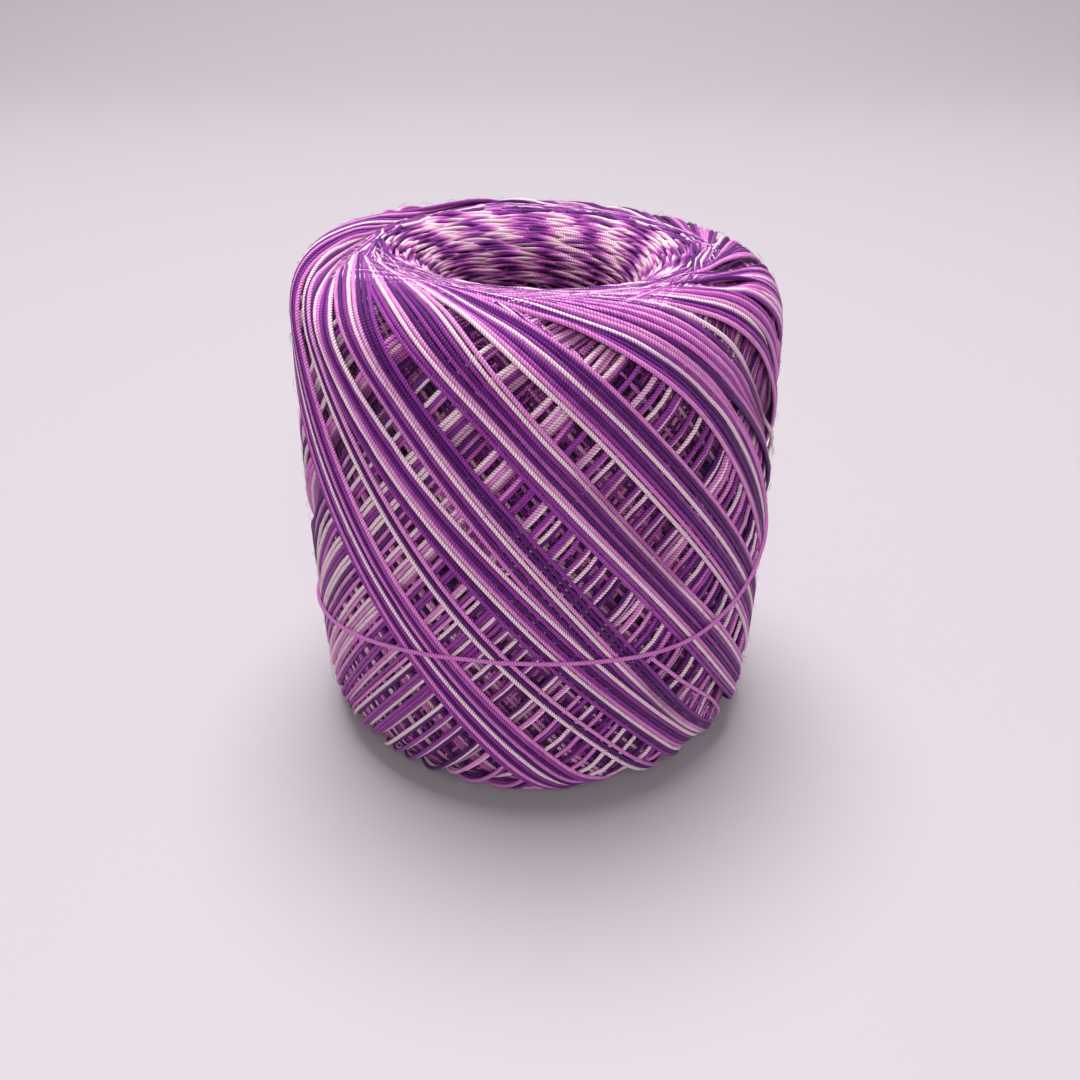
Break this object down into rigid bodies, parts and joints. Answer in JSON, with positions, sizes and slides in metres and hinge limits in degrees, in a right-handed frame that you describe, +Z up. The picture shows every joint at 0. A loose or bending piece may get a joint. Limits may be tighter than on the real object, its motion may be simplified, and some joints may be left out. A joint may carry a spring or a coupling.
{
  "type": "wound ball of crochet thread",
  "caption": "Barrel-shaped wound ball of fine variegated crochet thread with crossing bands, a funnel in each end and an open middle.",
  "frame": {"origin": "under the middle of the ball, on the surface that it stands on", "axes": "+Z up along the open middle, -Y towards the viewer of the picture"},
  "size_m": [0.064, 0.064, 0.0677],
  "materials": {
    "thread": "matt twisted cotton, dyed in purple, violet, lilac and cream"
  },
  "bodies": {
    "root": {"wound_ball": "thread"}
  },
  "joints": []
}
